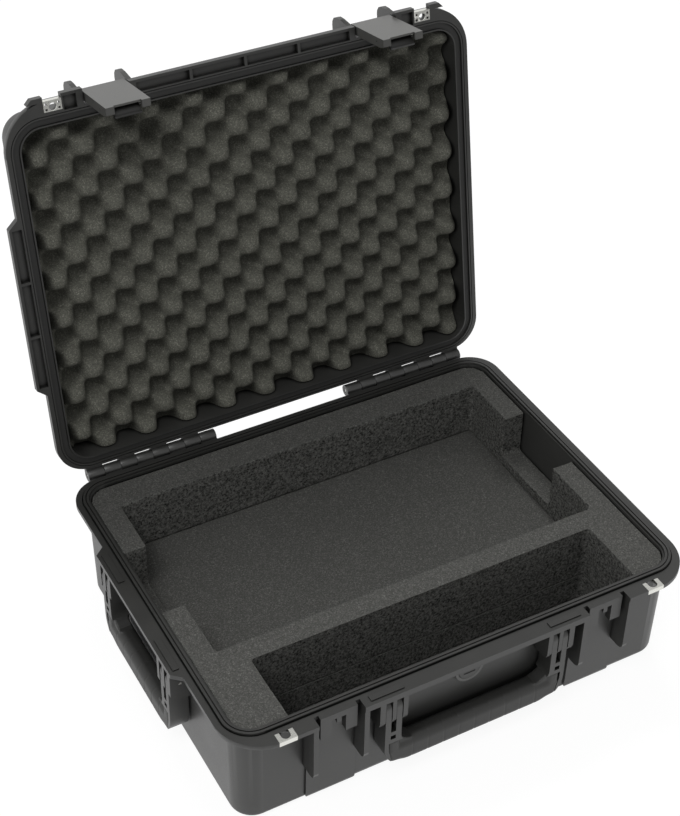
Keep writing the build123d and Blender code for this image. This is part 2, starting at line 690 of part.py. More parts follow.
def handle_grip(arm):
    """Rubber grip: a rounded bar with two short rounded risers up to the seams."""
    half = arm + ARM_W
    outer = half - RAIL_T
    height = GRIP_TOP_Z - HANDLE_BOTTOM_Z
    section = Pos(-outer, -FRONT_PIVOT, HANDLE_BOTTOM_Z + height / 2) * Rot(0, 90, 0)
    bar = extrude(section * RectangleRounded(height, ARM_DEPTH, 10), 2 * outer, dir=(1, 0, 0))
    for side in (-1, 1):
        riser = Pos(side * (arm + outer) / 2, -FRONT_PIVOT, HANDLE_BOTTOM_Z + height / 2)
        face = RectangleRounded(outer - arm, ARM_DEPTH, 5)
        bar += extrude(riser * face, SEAM_Z - HANDLE_BOTTOM_Z - height / 2)
    bar = bar & handle_block(half, SEAM_Z, HANDLE_BOTTOM_Z, 22)
    depth = ARM_DEPTH / 2 - 3
    for side in (-1, 1):
        x0, x1 = sorted((side * (arm - HOLE_R), side * (arm + 3)))
        corner = box(
            x0, x1, -FRONT_PIVOT - depth, -FRONT_PIVOT + depth, GRIP_TOP_Z - 3, SEAM_Z
        )
        bar += corner - handle_opening(arm)
    return bar - grip_core(arm)


# ------------------------------------------------------------------ latches
def latch_cover(side):
    """Channel-shaped cover: plate, two side walls bored for both pins, posts round the window."""
    c = side * BAY_X
    out = -LATCH_OUT_Y
    inside = out + LATCH_T
    back = -LATCH_BACK_Y
    part = box(c - LATCH_HALF, c + LATCH_HALF, out, inside, LATCH_END_Z, LATCH_TOP_Z)
    wall_profile = [
        (out, LATCH_END_Z),
        (out, LATCH_TOP_Z),
        (-LATCH_PIVOT_Y + 1.5, LATCH_TOP_Z - 0.8),
        (back, LATCH_PIVOT_Z + 1.5),
        (back, LATCH_END_Z + 3 * LATCH_WALL),
        (back - LATCH_NOSE, LATCH_END_Z),
    ]
    window = TRIGGER_HALF + WINDOW_GAP
    for end in (-1, 1):
        edge = c + end * LATCH_HALF
        x0, x1 = sorted((edge, edge - end * LATCH_WALL))
        part += profile_x(wall_profile, x0, x1)
        p0, p1 = sorted((edge, c + end * window))
        part += box(p0, p1, out, back - LATCH_NOSE, LATCH_END_Z, LATCH_END_Z + LATCH_END_T)
    part -= box(
        c - window, c + window, out - 1, inside + 1, LATCH_END_Z - 1, LATCH_END_Z + LATCH_WALL
    )
    reach = LATCH_HALF + LATCH_WALL
    part -= rod_x(c - reach, c + reach, -LATCH_PIVOT_Y, LATCH_PIVOT_Z, LATCH_PIN_R + RUNNING)
    part -= rod_x(c - reach, c + reach, -TRIGGER_Y, TRIGGER_Z, TRIGGER_PIN_R)
    return part


def latch_trigger(side):
    """Rocking release lever with two hooks; its finger lip leans in towards the case."""
    c = side * BAY_X
    x0, x1 = c - TRIGGER_HALF, c + TRIGGER_HALF
    face = -TRIGGER_Y - TRIGGER_T / 2
    back = -TRIGGER_Y + TRIGGER_T / 2
    lip_z = LATCH_END_Z + 1
    lip = -LATCH_OUT_Y + TRIGGER_REACH
    lever = [
        (face, TRIGGER_Z),
        (back, TRIGGER_Z),
        (back, lip_z + 12),
        (lip - 1.5, lip_z + 5),
        (lip, lip_z + 2.5),
        (lip, lip_z + 0.5),
        (lip - 2.0, lip_z),
        (lip - 3.5, lip_z + 2.5),
        (face, lip_z + 10),
    ]
    part = rod_x(x0, x1, -TRIGGER_Y, TRIGGER_Z, TRIGGER_BARREL_R)
    part += profile_x(lever, x0, x1)
    for end in (-1, 1):
        edge = c + end * TRIGGER_HALF
        h0, h1 = sorted((edge, edge - end * HOOK_W))
        part += box(h0, h1, -HOOK_BACK_Y - HOOK_T, -HOOK_BACK_Y, TRIGGER_Z, HOOK_TOP_Z)
    return part - rod_x(x0 - 1, x1 + 1, -TRIGGER_Y, TRIGGER_Z, TRIGGER_PIN_R + RUNNING)


def trigger_springs(side):
    """Close-wound return coils on the trigger pin, one at each end."""
    c = side * BAY_X
    coils = []
    for end in (-1, 1):
        x0 = c + end * (TRIGGER_HALF + SPRING_GAP)
        x1 = x0 + end * SPRING_LEN
        coil = rod_x(x0, x1, -TRIGGER_Y, TRIGGER_Z, SPRING_R)
        coils.append(coil - rod_x(x0 - end, x1 + end, -TRIGGER_Y, TRIGGER_Z, TRIGGER_PIN_R + RUNNING))
    return coils


# ------------------------------------------------------------------ foam
def base_foam(z0, z1):
    """A slab that fills the drafted inside of the base between two heights."""
    low = draft_run(RIM_Z - z0) + FOAM_GAP
    return plate(CAVITY_X - low, CAVITY_Y - low, CAVITY_R - low, z0, z1, taper=-DRAFT)


def trough_cut():
    return box(TROUGH_X0, TROUGH_X1, -CAVITY_Y - 10, TROUGH_Y1, FOAM_FLOOR_Z, RIM_Z + 5)


def foam_floor():
    slab = base_foam(FLOOR, FOAM_FLOOR_Z)
    return chamfer(edges_at_z(slab, FLOOR), INNER_BEVEL + 1)


def foam_riser():
    return base_foam(FOAM_FLOOR_Z, FOAM_RISER_Z) - trough_cut()


def foam_cradle():
    slab = base_foam(FOAM_RISER_Z, FOAM_TOP_Z) - trough_cut()
    slab -= box(
        -CAVITY_UNIT_X, CAVITY_UNIT_X, CAVITY_UNIT_Y0, CAVITY_UNIT_Y1,
        FOAM_RISER_Z - 1, RIM_Z + 5,
    )
    for side in (-1, 1):
        x0, x1 = sorted((side * (CAVITY_UNIT_X - 5), side * (CAVITY_X + 10)))
        slab -= box(x0, x1, NOTCH_Y0, NOTCH_Y1, NOTCH_FLOOR_Z, RIM_Z + 5)
    return slab


def foam_peak(x, y, slab_z, tip_z):
    """One peak of the egg crate, its four flat sides leaning in towards the tip."""
    foot_x = PEAK_PITCH_X / 2 - PEAK_VALLEY
    foot_y = PEAK_PITCH_Y / 2 - PEAK_VALLEY
    height = slab_z + 0.5 - tip_z
    lean = height * tan(radians(PEAK_LEAN))
    peak = Wedge(foot_x, height, foot_y, lean, lean, foot_x - lean, foot_y - lean)
    return Pos(x, y, (slab_z + 0.5 + tip_z) / 2) * Rot(-90, 0, 0) * peak


def lid_foam():
    """Egg-crate sheet: staggered peaks on a slab that fills the lid, cut off at its edges."""
    top = LID_TOP_Z - WALL - FOAM_GAP
    slab_z = top - LID_FOAM_SLAB
    tip_z = top - LID_FOAM_HEIGHT
    half_x = CAVITY_X - LID_FOAM_GAP
    half_y = CAVITY_Y - LID_FOAM_GAP
    sheet = plate(half_x, half_y, CAVITY_R - LID_FOAM_GAP, slab_z, top, taper=DRAFT)
    sheet = chamfer(edges_at_z(sheet, top), INNER_BEVEL + 0.5)
    peaks = []
    rows = ceil(2 * half_y / PEAK_PITCH_Y)
    columns = ceil(half_x / PEAK_PITCH_X)
    for row in range(-rows, rows + 1):
        shift = 0.5 if row % 2 else 0.0
        for column in range(-columns, columns + 1):
            x = (column + shift) * PEAK_PITCH_X + PEAK_SHIFT_X
            y = row * PEAK_PITCH_Y / 2 + PEAK_SHIFT_Y
            if abs(x) < half_x + PEAK_CUT and abs(y) < half_y + PEAK_CUT:
                peaks.append(foam_peak(x, y, slab_z, tip_z))
    outline = plate(half_x, half_y, CAVITY_R - LID_FOAM_GAP, tip_z - 1, top)
    return sheet + ((Part() + peaks) & outline)


# ------------------------------------------------------------------ build all
def main():
    save(base_shell(), "base_shell")
    save(foam_floor(), "base_foam_floor")
    save(foam_riser(), "base_foam_riser")
    save(foam_cradle(), "base_foam_cradle")
    save(valve_body(), "pressure_valve_body")
    save(valve_disc(), "pressure_valve_disc")
    hinge_end = HINGE_X0 + KNUCKLES * KNUCKLE_PITCH - KNUCKLE_GAP
    names = {-1: "left", 1: "right"}
    for side, name in names.items():
        pin = rod_x(side * (HINGE_X0 + 0.5), side * (hinge_end - 0.5), HINGE_Y, HINGE_Z, HINGE_PIN_R)
        save(Part() + pin, f"hinge_pin_{name}")
        save(padlock_plate(side, RIM_Z, -1), f"base_padlock_plate_{name}")
        save(opened(padlock_plate(side, LID_RIM_Z, 1)), f"lid_padlock_plate_{name}")
        x = side * BAY_X
        reach = BAY_HALF + 4.9
        pivot = Part() + rod_x(x - reach, x + reach, -LATCH_PIVOT_Y, LATCH_PIVOT_Z, LATCH_PIN_R)
        save(opened(pivot), f"latch_pivot_pin_{name}")
        save(opened(latch_cover(side)), f"latch_cover_{name}")
        save(opened(latch_trigger(side)), f"latch_trigger_{name}")
        reach = LATCH_HALF - 0.2
        pin = Part() + rod_x(x - reach, x + reach, -TRIGGER_Y, TRIGGER_Z, TRIGGER_PIN_R)
        save(opened(pin), f"trigger_pin_{name}")
        springs = Part() + trigger_springs(side)
        save(opened(springs), f"trigger_springs_{name}")
    save(Part() + handle_pins(FRONT_ARM), "front_handle_pins")
    save(to_side(Part() + handle_pins(SIDE_ARM)), "side_handle_pins")
    save(handle_frame(FRONT_ARM), "front_handle_frame")
    save(handle_grip(FRONT_ARM), "front_handle_grip")
    save(to_side(handle_frame(SIDE_ARM)), "side_handle_frame")
    save(to_side(handle_grip(SIDE_ARM)), "side_handle_grip")
    save(opened(lid_shell()), "lid_shell")
    save(opened(lid_gasket()), "lid_gasket")
    save(opened(lid_foam()), "lid_foam")


main()
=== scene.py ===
import json
import math

import bmesh
import bpy
import numpy as np
from mathutils import Matrix, Vector

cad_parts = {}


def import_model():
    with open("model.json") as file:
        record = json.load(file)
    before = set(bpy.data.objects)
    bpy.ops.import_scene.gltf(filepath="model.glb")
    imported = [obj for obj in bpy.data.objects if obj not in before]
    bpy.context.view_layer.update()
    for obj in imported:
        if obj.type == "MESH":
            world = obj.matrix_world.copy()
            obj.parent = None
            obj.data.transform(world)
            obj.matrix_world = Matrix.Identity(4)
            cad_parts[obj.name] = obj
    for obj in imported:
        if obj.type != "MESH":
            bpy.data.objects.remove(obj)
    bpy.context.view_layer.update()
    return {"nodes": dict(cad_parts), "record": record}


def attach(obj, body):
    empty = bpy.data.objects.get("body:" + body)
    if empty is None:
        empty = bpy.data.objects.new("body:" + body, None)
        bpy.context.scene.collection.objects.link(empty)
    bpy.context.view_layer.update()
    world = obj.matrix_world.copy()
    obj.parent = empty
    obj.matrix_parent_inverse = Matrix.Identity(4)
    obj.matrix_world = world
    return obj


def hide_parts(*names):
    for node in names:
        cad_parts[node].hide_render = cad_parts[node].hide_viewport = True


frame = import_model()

nodes = frame["nodes"]
record = frame["record"]

MM = 0.001
X, Y, Z = 0, 1, 2

# ------------------------------------------------------------------ camera and studio (metres, radians)
# The lens and the sensor are in mm, and the shifts are shares of the picture's longer side.
CAMERA_PLACE = (-0.7791, -1.3001, 1.5701)
AZIMUTH, ELEVATION, ROLL = 0.4996, 0.6598, 0.0113
LENS, SENSOR = 76.27, 36
SHIFT_X, SHIFT_Y = 0.0210, -0.0571
CLIP_NEAR, CLIP_FAR = 0.05, 50

# The floor's glow fades towards the front, from POOL_BACK to POOL_FRONT, down to POOL_DIM.
FLOOR_HALF, FLOOR_DROP = 9.0, 0.0005
FLOOR_WHITE, FLOOR_GLOW, FLOOR_SHARE = 0.8, 1.10, 0.84
POOL_FRONT, POOL_BACK, POOL_DIM = -1.25, -0.45, 0.15
# The sky lights the object by SKY_LIGHT; mirrored, it darkens from SKY_LOW up to SKY_HIGH.
SKY_LIGHT = 0.30
SKY_LOW, SKY_HIGH, SKY_OVERHEAD = 0.15, 0.75, 0.58

# ------------------------------------------------------------------ foam (mm)
# The egg crate's places are those of the shut lid.
PEAK_PITCH_X, PEAK_PITCH_Y = 55.6, 51.5
PEAK_SHIFT_X, PEAK_SHIFT_Y = -9.3, 4.6
PEAK_SHARPNESS = 1.8
CRATE_X, CRATE_Y, CRATE_R = 280.3, 212.8, 24.4
CRATE_TOP, CRATE_VALLEY, CRATE_TIP = 212.0, 186.1, 156.1
CRATE_BEVEL, CRATE_SPARE = 6.5, 0.8
CRATE_CELLS_X, CRATE_CELLS_Y = 256, 194
# The base layers draw in by FOAM_SHRINK, so that their waves reach at most 0.2 mm past the CAD's faces.
FOAM_SHRINK, FOAM_WAVE, FOAM_RIPPLE = 0.35, 0.16, 0.22

# ------------------------------------------------------------------ trigger return coils (mm)
COIL_START, COIL_LENGTH, COIL_TURNS = 16.5, 6.4, 5
COIL_WIRE, COIL_R, COIL_STEPS = 1.1, 2.0, 20

# ------------------------------------------------------------------ handles (mm)
CORNER_CAD, CORNER_ROUND, CORNER_STILL = 22.0, 35.0, 12.0
CORNER_CUTS = 10
SLEEVE_VOXEL, SLEEVE_SMOOTHING = 1.0, 4
SEAM_PITCH, SEAM_WIDTH, SEAM_DEPTH = 20.4, 0.75, 0.45
# Each handle's name, the axis that it runs along, and its seams to either side of the middle one.
HANDLES = (("front", X, 4), ("side", Y, 3))

# ------------------------------------------------------------------ bevels (mm, degrees)
WELD_REACH = 0.01
FLAT_ANGLE, EDGE_ANGLE, SHARP_ANGLE, CRATE_SHARP_ANGLE = 0.5, 40, 32, 55
FRAME_EASE = 0.7
# The bevel of each CAD node that gets one.
EASED = {
    "base_shell": 0.8, "lid_shell": 0.8, "latch_cover_left": 0.6, "latch_cover_right": 0.6,
    "latch_trigger_left": 0.4, "latch_trigger_right": 0.4, "pressure_valve_body": 0.5,
    "pressure_valve_disc": 0.3, "base_padlock_plate_left": 0.35, "base_padlock_plate_right": 0.35,
    "lid_padlock_plate_left": 0.35, "lid_padlock_plate_right": 0.35,
}

# Nodes whose look isn't the one that the record's slot names, both as painted light.
PAINTED_LIGHT_LOOK = {
    # The triggers take a darker plastic: painted shade of the deep finger cavity behind their lip.
    "latch_trigger_left": "trigger",
    "latch_trigger_right": "trigger",
    # The valve body takes the lighter latch plastic: a painted highlight on the front face of its ring.
    "pressure_valve_body": "latch_plastic",
}


# ------------------------------------------------------------------ joints of the record
JOINTS = {joint["name"]: joint for joint in record["behaviour"]["joints"]}


def lid_turn():
    """From the shut lid to the open one: the whole range of its hinge."""
    joint = JOINTS["lid_hinge"]
    start, end = joint["range_deg"]
    hinge = Matrix.Translation(Vector(joint["pos_m"]))
    return hinge @ Matrix.Rotation(math.radians(end - start), 4, Vector(joint["axis"])) @ hinge.inverted()


LID_TURN = lid_turn()


def opened(point):
    """A point of the shut lid, in mm, where the open lid has it, in metres."""
    return LID_TURN @ (Vector(point) * MM)


def shut(place):
    """A place on the open lid, in metres, where the shut lid has it, in mm."""
    return LID_TURN.inverted() @ Vector(place) / MM


def linked(name, data):
    """A new object in the scene."""
    made = bpy.data.objects.new(name, data)
    bpy.context.collection.objects.link(made)
    return made


# ------------------------------------------------------------------ camera
def camera():
    """The photograph's view: from the front left and above, with a long lens."""
    forward = Vector((
        math.sin(AZIMUTH) * math.cos(ELEVATION),
        math.cos(AZIMUTH) * math.cos(ELEVATION),
        -math.sin(ELEVATION),
    ))
    right = forward.cross(Vector((0, 0, 1))).normalized()
    up = right.cross(forward)
    x_axis = math.cos(ROLL) * right + math.sin(ROLL) * up
    y_axis = math.cos(ROLL) * up - math.sin(ROLL) * right
    data = bpy.data.cameras.new("camera")
    data.sensor_width = SENSOR
    data.lens = LENS
    data.shift_x = SHIFT_X
    data.shift_y = SHIFT_Y
    data.clip_start = CLIP_NEAR
    data.clip_end = CLIP_FAR
    cam = linked("camera", data)
    basis = Matrix((x_axis, y_axis, -forward)).transposed().to_4x4()
    cam.matrix_world = Matrix.Translation(CAMERA_PLACE) @ basis
    bpy.context.scene.camera = cam


# ------------------------------------------------------------------ node helper
class Tree:
    """Builds a node tree: each call adds one node and returns one of its outputs."""

    def __init__(self, owner):
        owner.use_nodes = True
        self.tree = owner.node_tree
        self.tree.nodes.clear()

    def add(self, kind, inputs=(), out=0, **settings):
        node = self.tree.nodes.new("ShaderNode" + kind)
        for key, value in settings.items():
            setattr(node, key, value)
        for key, value in dict(inputs).items():
            socket = node.inputs[key]
            if isinstance(value, bpy.types.NodeSocket):
                self.tree.links.new(value, socket)
            else:
                socket.default_value = value
        return node.outputs[out]

    def place(self):
        return self.add("TexCoord", out="Object")

    def part(self, vector, name):
        """The X, Y or Z of a vector."""
        return self.add("SeparateXYZ", {"Vector": vector}, out=name)

    def noise(self, scale, detail, rough, stretch=None):
        vector = self.place()
        if stretch:
            vector = self.add("Mapping", {"Vector": vector, "Scale": stretch})
        return self.add(
            "TexNoise", {"Vector": vector, "Scale": scale, "Detail": detail, "Roughness": rough}
        )

    def cells(self, scale, out):
        return self.add("TexVoronoi", {"Vector": self.place(), "Scale": scale}, out=out)

    def span(self, value, low, high, to_low, to_high):
        """Carry a value from one range over to another, stopping at its ends."""
        return self.add(
            "MapRange",
            {"Value": value, "From Min": low, "From Max": high, "To Min": to_low, "To Max": to_high},
        )

    def vary(self, noise, to_low, to_high):
        """Spread a noise, which mostly lies from 0.3 to 0.7, over a range."""
        return self.span(noise, 0.3, 0.7, to_low, to_high)

    def mix(self, factor, a, b):
        return self.add("Mix", {"Factor": factor, "A": a, "B": b})

    def tint(self, factor, dark, light):
        return self.add("Mix", {"Factor": factor, "A": dark, "B": light}, out=2, data_type="RGBA")

    def calc(self, operation, a, b=0.0):
        return self.add("Math", {0: a, 1: b}, operation=operation)

    def times(self, a, b):
        return self.calc("MULTIPLY", a, b)

    def bump(self, height, strength, distance):
        return self.add("Bump", {"Height": height, "Strength": strength, "Distance": distance})

    def open_sky(self, reach):
        """1 on open faces, falling to 0 in seams, slots and inside corners."""
        return self.add("AmbientOcclusion", {"Distance": reach}, out="AO", samples=8)

    def camera_ray(self):
        return self.add("LightPath", out="Is Camera Ray")

    def seen_directly(self):
        """1 for what the camera, a reflection or a clear piece shows, 0 for light on the object."""
        seen = self.camera_ray()
        for ray in ("Is Glossy Ray", "Is Transmission Ray"):
            seen = self.calc("MAXIMUM", seen, self.add("LightPath", out=ray))
        return seen

    def finish(self, shader, output="Material"):
        out = self.tree.nodes.new("ShaderNodeOutput" + output)
        self.tree.links.new(shader, out.inputs["Surface"])


def material(name):
    made = bpy.data.materials.new(name)
    return made, Tree(made)


def grey(level):
    """A nearly neutral colour with a little of the blue taken away."""
    return (level, level, level * 0.94, 1)


# ------------------------------------------------------------------ materials
def moulded_plastic(name, level, rough, pebble, depth):
    """Black injection-moulded plastic with a fine pebble grain, cloudy gloss and painted shade in seams,
    slots and inside corners.
    """
    made, t = material(name)
    cloud = t.noise(16, detail=4, rough=0.6)
    grain = t.noise(pebble, detail=3, rough=0.6)
    face = t.tint(t.vary(cloud, 0, 1), grey(level * 0.86), grey(level * 1.14))
    # Painted shade: colour and reflection darken where ambient occlusion finds seams, slots and inside
    # corners within 7 mm.
    painted_crevice_shade = t.span(t.open_sky(7 * MM), 0.35, 0.85, 0, 1)
    cloudy = t.vary(cloud, rough - 0.05, rough + 0.05)
    grainy = t.vary(grain, rough - 0.08, rough + 0.10)
    t.finish(t.add("BsdfPrincipled", {
        "Base Color": t.tint(painted_crevice_shade, grey(level * 0.2), face),
        "Roughness": t.mix(0.45, cloudy, grainy),
        "Normal": t.bump(grain, 0.55, depth),
        "Specular IOR Level": t.span(painted_crevice_shade, 0, 1, 0.15, 0.65),
    }))
    return made


def rubber(name, level, rough):
    """Soft black rubber with a fine even grain."""
    made, t = material(name)
    grain = t.noise(900, detail=2, rough=0.5)
    t.finish(t.add("BsdfPrincipled", {
        "Base Color": t.tint(grain, grey(level * 0.8), grey(level * 1.2)),
        "Roughness": t.vary(grain, rough - 0.05, rough + 0.06),
        "Normal": t.bump(grain, 0.4, 0.05 * MM),
        "Specular IOR Level": 0.5,
    }))
    return made


def metal(name, level, rough, stretch):
    """Rolled or drawn steel with fine lines along one direction."""
    made, t = material(name)
    lines = t.noise(700, detail=4, rough=0.7, stretch=stretch)
    t.finish(t.add("BsdfPrincipled", {
        "Base Color": t.tint(lines, grey(level * 0.88), grey(level * 1.06)),
        "Metallic": 1.0,
        "Roughness": t.vary(lines, rough - 0.07, rough + 0.1),
        "Normal": t.bump(lines, 0.25, 0.03 * MM),
    }))
    return made


def foam(name, level, cut_level=None, blue=0.94, painted_shade_reach=None):
    """Charcoal foam: fine pores, a few light flecks and, where given, torn cut sides or painted shade in
    its dips and valleys.
    """
    made, t = material(name)
    fine = t.noise(430, detail=4, rough=0.7)
    pores = t.cells(1250, "Distance")
    flecks = t.times(t.calc("POWER", t.part(t.cells(900, "Color"), "X"), 5.0), 1.1)
    mottle = t.times(t.span(fine, 0.32, 0.68, 0.72, 1.3), t.span(pores, 0.1, 0.5, 0.7, 1.15))
    skin = t.times(t.calc("ADD", mottle, flecks), level)
    height = t.calc("ADD", fine, t.times(pores, 0.6))
    # Painted shade: the skin darkens where ambient occlusion finds dips within the given reach.
    if painted_shade_reach:
        skin = t.times(skin, t.span(t.open_sky(painted_shade_reach), 0.35, 0.8, 0.45, 1.0))
    if cut_level is not None:
        coarse = t.noise(330, detail=4, rough=0.8)
        torn = t.times(t.span(coarse, 0.36, 0.66, 0.1, 2.1), cut_level)
        upward = t.calc("ABSOLUTE", t.part(t.add("NewGeometry", out="Normal"), "Z"))
        side = t.span(upward, 0.85, 0.97, 1, 0)
        skin = t.mix(side, skin, torn)
        height = t.mix(side, height, coarse)
    t.finish(t.add("BsdfPrincipled", {
        "Base Color": t.add("CombineXYZ", {"X": skin, "Y": skin, "Z": t.times(skin, blue)}),
        "Roughness": 0.95,
        "Specular IOR Level": 0.1,
        "Normal": t.bump(height, 0.6, 0.7 * MM),
    }))
    return made


def floor_material():
    """Matt white that the camera sees as the white background, with the shadow kept.

    Reflections see it too, but it fades towards the front, as the photograph's floor does.
    """
    made, t = material("backdrop_white")
    fade = t.span(t.part(t.place(), "Y"), POOL_FRONT, POOL_BACK, POOL_DIM, 1.0)
    pool = t.calc("MAXIMUM", t.camera_ray(), fade)
    matt = t.add("BsdfDiffuse", {"Color": (FLOOR_WHITE, FLOOR_WHITE, FLOOR_WHITE, 1)})
    glow = t.add("Emission", {"Color": (1, 1, 1, 1), "Strength": t.times(pool, FLOOR_GLOW)})
    share = t.times(t.seen_directly(), FLOOR_SHARE)
    t.finish(t.add("MixShader", {0: share, 1: matt, 2: glow}))
    return made


# ------------------------------------------------------------------ stage and light
def stage():
    far = FLOOR_HALF
    mesh = bpy.data.meshes.new("floor")
    mesh.from_pydata([(-far, -far, 0), (far, -far, 0), (far, far, 0), (-far, far, 0)], [], [(0, 1, 2, 3)])
    mesh.materials.append(floor_material())
    floor = linked("floor", mesh)
    floor.location.z = -FLOOR_DROP


def world():
    """A white background, a dimmer light on the object and a sky whose reflection darkens overhead."""
    made = bpy.data.worlds.new("studio")
    bpy.context.scene.world = made
    t = Tree(made)
    height = t.part(t.add("TexCoord", out="Generated"), "Z")
    overhead = t.span(height, SKY_LOW, SKY_HIGH, 1.0, SKY_OVERHEAD)
    shown = t.calc("MAXIMUM", t.camera_ray(), overhead)
    strength = t.mix(t.seen_directly(), SKY_LIGHT, shown)
    t.finish(t.add("Background", {"Color": (1, 1, 1, 1), "Strength": strength}), "World")


def lamp(name, place, target, size, power, mirrored=True):
    data = bpy.data.lights.new(name, "AREA")
    data.shape = "RECTANGLE"
    data.size, data.size_y = size
    data.energy = power
    made = linked(name, data)
    made.location = place
    made.visible_glossy = mirrored
    made.rotation_mode = "QUATERNION"
    made.rotation_quaternion = (Vector(target) - Vector(place)).to_track_quat("-Z", "Y")


def lights():
    """A soft key light from the front left, and a back light that no face mirrors."""
    lamp("key", place=(-1.5, -1.1, 2.9), target=(0, 0, 0.15), size=(1.3, 1.1), power=38)
    lamp("back", place=(0.3, 1.5, 2.6), target=(0, 0, 0.1), size=(1.8, 1.0), power=44, mirrored=False)


# ------------------------------------------------------------------ mesh helpers
def points_of(mesh, key="co"):
    flat = np.empty(len(mesh.vertices) * 3)
    mesh.vertices.foreach_get(key, flat)
    return flat.reshape(-1, 3)


def coat(mesh, look):
    mesh.materials.clear()
    mesh.materials.append(look)


def reshape(mesh, places, look):
    mesh.vertices.foreach_set("co", places.ravel())
    coat(mesh, look)
    mesh.update()


def shade_smooth(mesh):
    mesh.polygons.foreach_set("use_smooth", [True] * len(mesh.polygons))


def grown(name, node, voxel, smoothing=0):
    """A new piece with the node's shape in small even faces."""
    made = linked(name, nodes[node].data.copy())
    grow = made.modifiers.new("grow", "REMESH")
    grow.mode = "VOXEL"
    grow.voxel_size = voxel
    grow.use_smooth_shade = smoothing > 0
    if smoothing:
        soften = made.modifiers.new("soften", "SMOOTH")
        soften.factor = 0.5
        soften.iterations = smoothing
    bake_modifiers(made)
    made.data.name = name
    return made


def bake_modifiers(obj):
    """Turn the modified shape into the object's own mesh."""
    graph = bpy.context.evaluated_depsgraph_get()
    graph.update()
    mesh = bpy.data.meshes.new_from_object(obj.evaluated_get(graph))
    old = obj.data
    obj.modifiers.clear()
    obj.data = mesh
    bpy.data.meshes.remove(old)


def add_bevel(obj, width):
    """A moulded or pressed edge is never sharp: a small two-step bevel, width in mm."""
    bevel = obj.modifiers.new("edges", "BEVEL")
    bevel.limit_method = "ANGLE"
    bevel.angle_limit = math.radians(EDGE_ANGLE)
    bevel.width = width * MM
    bevel.segments = 2
    bevel.harden_normals = True


# ------------------------------------------------------------------ foam pieces
def unevenness(points):
    """Slow hand-cut waviness, in metres, that runs on from one foam layer to the next.

    The numbers in the sines are radians per mm and phases, chosen so that nothing repeats.
    """
    x, y, z = points.T / MM
    wave = np.sin(0.041 * x + 0.9 * np.sin(0.023 * y))
    wave = wave + np.sin(0.057 * y + 0.7 * np.sin(0.031 * x + 0.05 * z))
    ripple = np.sin(0.13 * x + 0.11 * z + 1.0) * np.sin(0.12 * y - 0.09 * z)
    return (FOAM_WAVE * wave + FOAM_RIPPLE * ripple) * MM


def soft_foam(name, node, voxel, look):
    """A foam layer grown from its CAD solid, with crisp but not perfect hand-cut faces."""
    made = grown(name, node, voxel)
    places, normals = points_of(made.data), points_of(made.data, "normal")
    places += normals * (unevenness(places) - FOAM_SHRINK * MM)[:, None]
    reshape(made.data, places, look)
    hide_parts(node)
    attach(made, "base")


def crate_plan():
    """A fine grid over the sheet, in mm, its corners drawn in to their round, and what lay outside."""
    xs = np.linspace(-CRATE_X, CRATE_X, CRATE_CELLS_X + 1)
    ys = np.linspace(-CRATE_Y, CRATE_Y, CRATE_CELLS_Y + 1)
    x, y = np.meshgrid(xs, ys, indexing="ij")
    flat_x, flat_y = CRATE_X - CRATE_R, CRATE_Y - CRATE_R
    over_x = np.maximum(np.abs(x) - flat_x, 0)
    over_y = np.maximum(np.abs(y) - flat_y, 0)
    reach = np.hypot(over_x, over_y)
    outside = reach > CRATE_R + 0.01
    pull = np.where(outside, CRATE_R / np.maximum(reach, 1e-9), 1.0)
    x = np.sign(x) * (np.minimum(np.abs(x), flat_x) + over_x * pull)
    y = np.sign(y) * (np.minimum(np.abs(y), flat_y) + over_y * pull)
    return x, y, outside


def crate_height(x, y):
    """The sheet's face in mm: staggered rounded peaks, a little uneven in place and in height."""
    wander_x = 1.1 * np.sin(y * 0.043 + 1.0) + 0.7 * np.sin(y * 0.101 + x * 0.017)
    wander_y = 1.0 * np.sin(x * 0.037 + 2.0) + 0.7 * np.sin(x * 0.089 - y * 0.021)
    wave = np.cos((x - PEAK_SHIFT_X + wander_x) * 2 * math.pi / PEAK_PITCH_X)
    wave = wave * np.cos((y - PEAK_SHIFT_Y + wander_y) * 2 * math.pi / PEAK_PITCH_Y)
    shape = np.tanh(PEAK_SHARPNESS * wave) / math.tanh(PEAK_SHARPNESS)
    uneven = 0.5 * np.sin(x * 0.071 + y * 0.013) * np.sin(y * 0.059 - x * 0.019)
    middle = (CRATE_VALLEY + CRATE_TIP) / 2
    swing = (CRATE_VALLEY - CRATE_TIP) / 2 - CRATE_SPARE
    return middle - swing * shape + uneven


def crate_face(shape):
    """The peaked face of the sheet as one surface of squares."""
    x, y, outside = crate_plan()
    height = crate_height(x, y)
    grid = [
        [shape.verts.new((x[i, j], y[i, j], height[i, j])) for j in range(CRATE_CELLS_Y + 1)]
        for i in range(CRATE_CELLS_X + 1)
    ]
    for i in range(CRATE_CELLS_X):
        for j in range(CRATE_CELLS_Y):
            if not outside[i:i + 2, j:j + 2].all():
                shape.faces.new((grid[i][j], grid[i][j + 1], grid[i + 1][j + 1], grid[i + 1][j]))
    loose = [v for v in shape.verts if not v.link_faces]
    bmesh.ops.delete(shape, geom=loose, context="VERTS")
    bmesh.ops.remove_doubles(shape, verts=shape.verts, dist=0.05)


def crate_back(shape):
    """Close the sheet with straight sides, a slanted step and a flat back."""
    rim = [e for e in shape.edges if e.is_boundary]
    for z, inset in ((CRATE_TOP - CRATE_BEVEL, 0.0), (CRATE_TOP, CRATE_BEVEL)):
        ring = bmesh.ops.extrude_edge_only(shape, edges=rim)["geom"]
        for v in [g for g in ring if isinstance(g, bmesh.types.BMVert)]:
            v.co.z = z
            v.co.x *= 1 - inset / CRATE_X
            v.co.y *= 1 - inset / CRATE_Y
        rim = [g for g in ring if isinstance(g, bmesh.types.BMEdge) and g.is_boundary]
    bmesh.ops.contextual_create(shape, geom=rim)
    bmesh.ops.recalc_face_normals(shape, faces=shape.faces)


